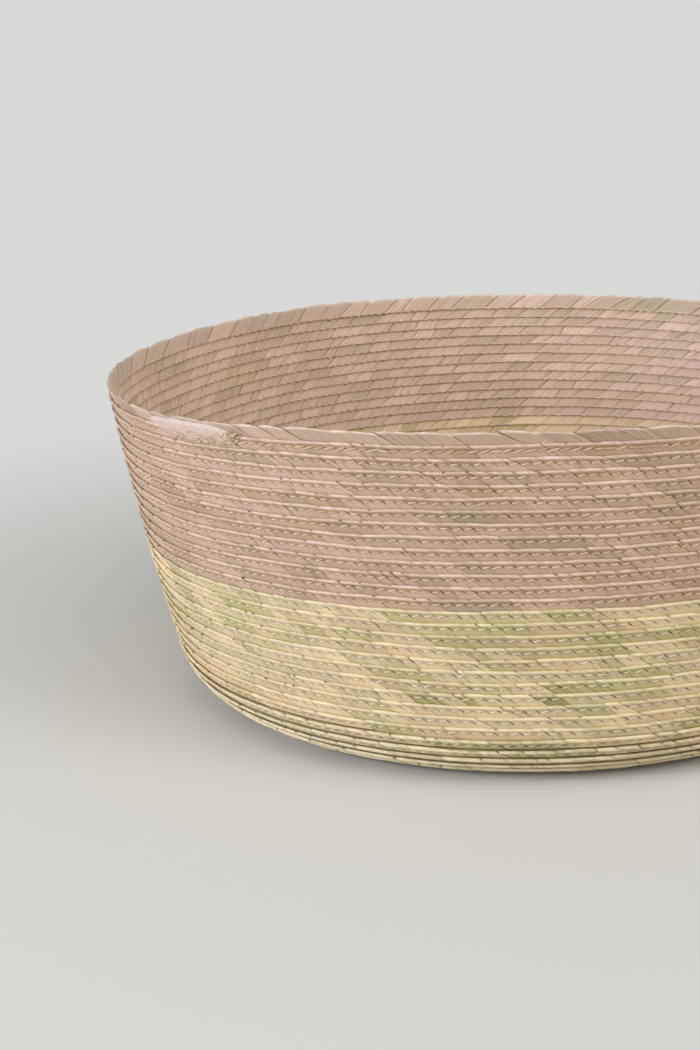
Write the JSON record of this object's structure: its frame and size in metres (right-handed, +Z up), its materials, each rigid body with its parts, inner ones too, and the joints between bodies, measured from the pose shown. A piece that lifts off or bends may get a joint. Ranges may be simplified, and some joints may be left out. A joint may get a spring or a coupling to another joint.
{
  "type": "palm-leaf basket",
  "caption": "Round open basket with a flat floor, a rounded heel and a gently flared wall, wound from one narrow palm-leaf plait and sewn turn over turn, natural below and dusty pink above.",
  "frame": {"origin": "centre of the flat underside, on the surface that the basket stands on", "axes": "+Z up through the mouth, +X to the right in the picture's view, -Y towards the viewer"},
  "size_m": [0.4594, 0.4405, 0.1808],
  "materials": {
    "natural_leaf": "dry natural palm leaf, satin",
    "pink_leaf": "dry palm leaf dyed dusty pink, satin",
    "rim_leaf": "dry palm leaf dyed dusty pink, satin",
    "pale_thread": "twisted cotton thread, matt",
    "tan_thread": "twisted cotton thread, matt"
  },
  "bodies": {
    "root": {"floor_plait": "natural_leaf", "natural_wall_plait": "natural_leaf", "pink_wall_plait": "pink_leaf", "rim_plait": "rim_leaf", "natural_wall_thread": "pale_thread", "pink_wall_thread": "tan_thread", "rim_thread": "tan_thread", "back_tack_1": "tan_thread", "back_tack_2": "tan_thread", "back_tack_3": "tan_thread"}
  },
  "joints": []
}
